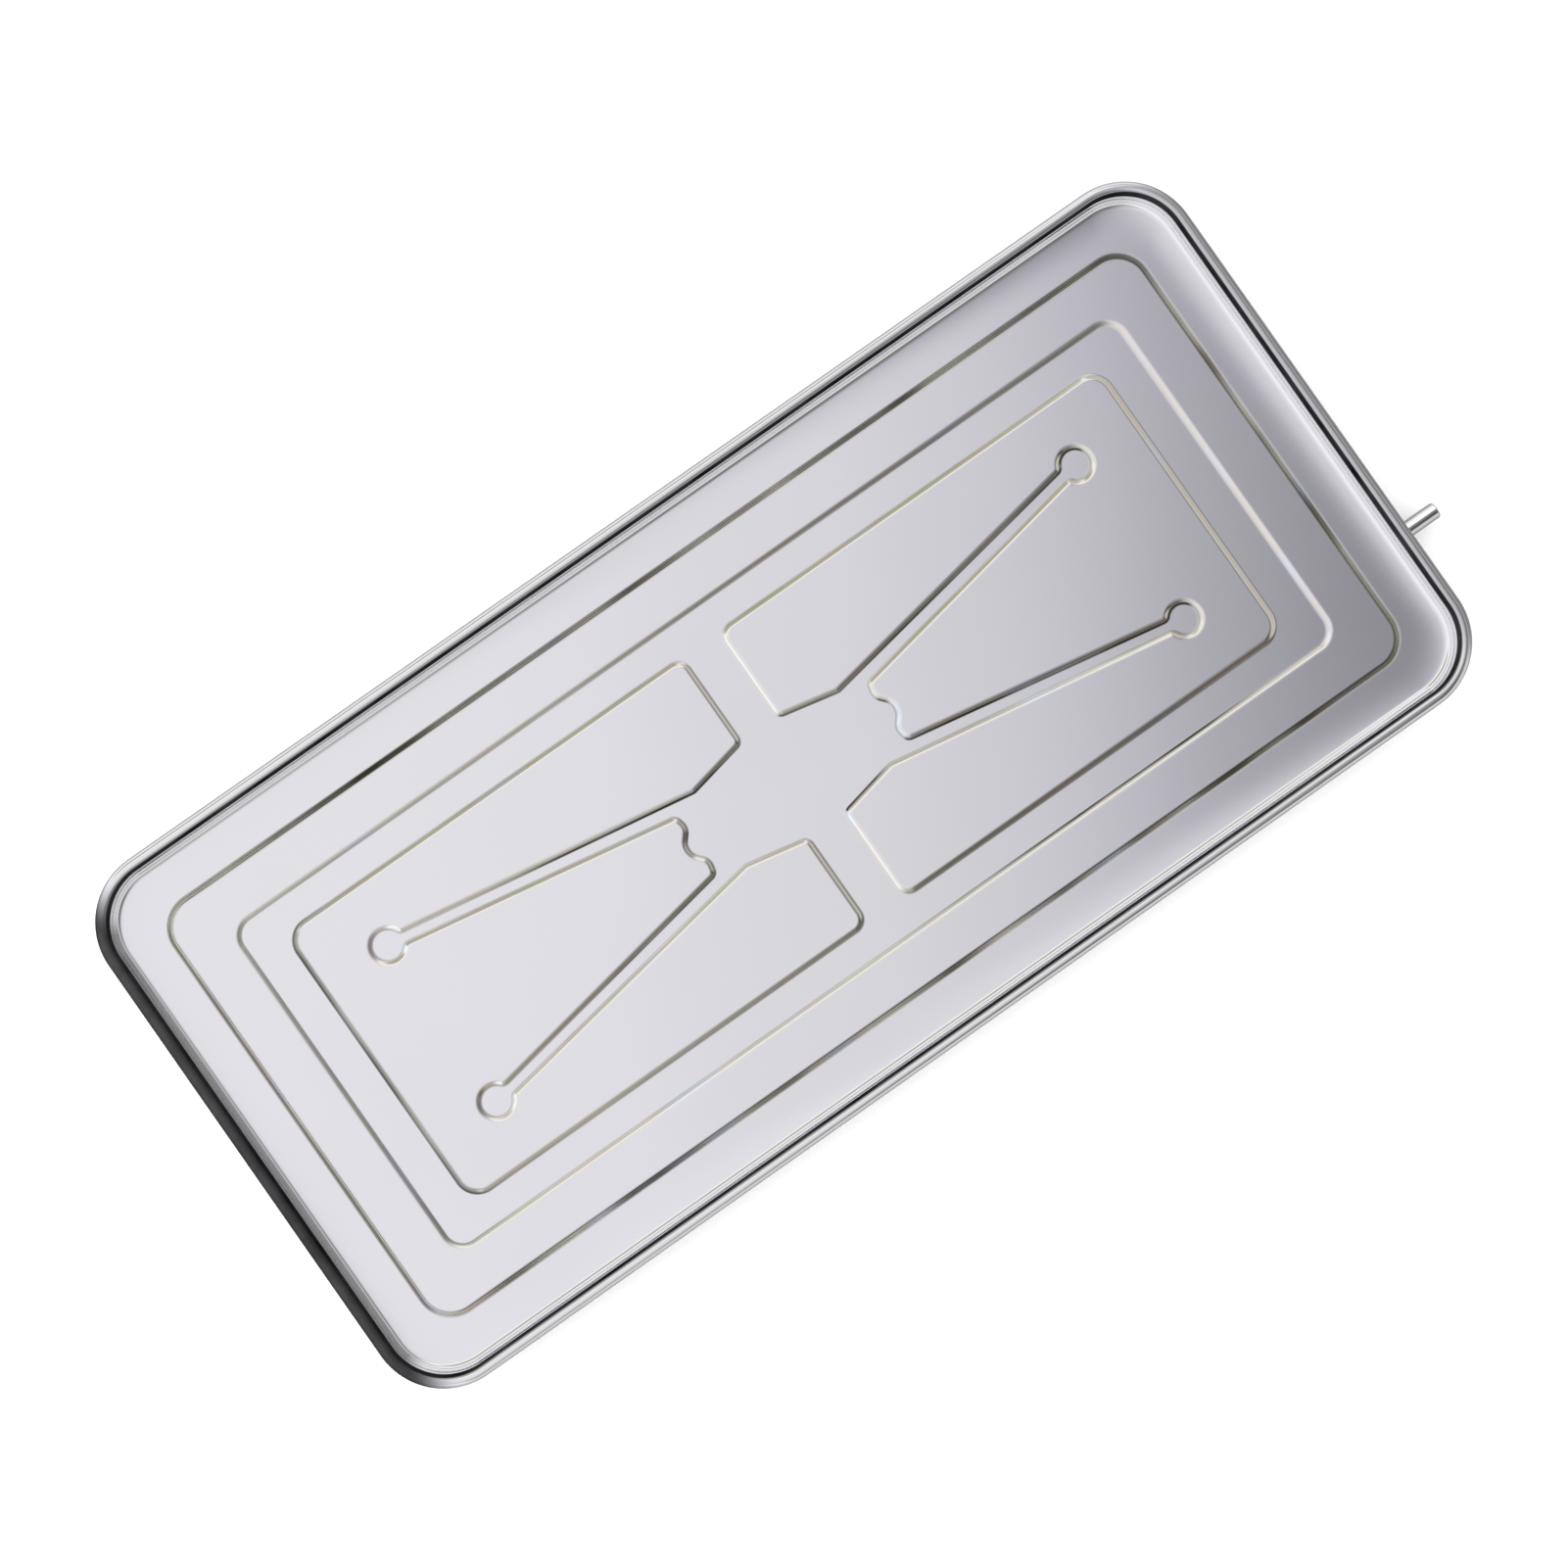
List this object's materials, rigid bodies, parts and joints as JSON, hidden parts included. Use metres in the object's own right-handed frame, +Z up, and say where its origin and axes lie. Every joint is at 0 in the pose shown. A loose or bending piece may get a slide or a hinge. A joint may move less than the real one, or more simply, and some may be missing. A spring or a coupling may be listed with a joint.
{
  "type": "pill counting tray",
  "caption": "Shallow embossed stainless tray with a rolled rim on rubber feet, with a counting spatula that slides out from under the deck.",
  "frame": {"origin": "centre of the deck, on its lower top level, between the raised plateaus", "axes": "+X along the long side towards the spatula's handle end, +Y across the tray, +Z up out of the tray"},
  "size_m": [0.3101, 0.1426, 0.0177],
  "materials": {
    "polished_stainless": "bright polished",
    "spatula_stainless": "polished, fine drawn lines along its length",
    "wire_steel": "drawn",
    "foot_rubber": "matt",
    "guide_acetal": "moulded, satin",
    "spring_steel": "rolled strip",
    "fastener_steel": "plain"
  },
  "bodies": {
    "tray": {"blade_guide": "guide_acetal", "foot_front_left": "foot_rubber", "foot_front_right": "foot_rubber", "foot_nut_front_left": "fastener_steel", "foot_nut_front_right": "fastener_steel", "foot_nut_rear_left": "fastener_steel", "foot_nut_rear_right": "fastener_steel", "foot_rear_left": "foot_rubber", "foot_rear_right": "foot_rubber", "foot_stud_front_left": "fastener_steel", "foot_stud_front_right": "fastener_steel", "foot_stud_rear_left": "fastener_steel", "foot_stud_rear_right": "fastener_steel", "foot_washer_front_left": "fastener_steel", "foot_washer_front_right": "fastener_steel", "foot_washer_rear_left": "fastener_steel", "foot_washer_rear_right": "fastener_steel", "guide_nuts": "fastener_steel", "guide_studs": "fastener_steel", "handle_guide": "guide_acetal", "retaining_spring": "spring_steel", "rim_wire": "wire_steel", "tray_pan": "polished_stainless"},
    "spatula": {"spatula_handle": "spatula_stainless", "spatula_blade": "spatula_stainless", "blade_pins": "spatula_stainless"}
  },
  "joints": [
    {"name": "spatula_slide", "type": "slide", "parent": "tray", "child": "spatula", "axis": [1, 0, 0], "range_m": [0, 0.17]}
  ]
}
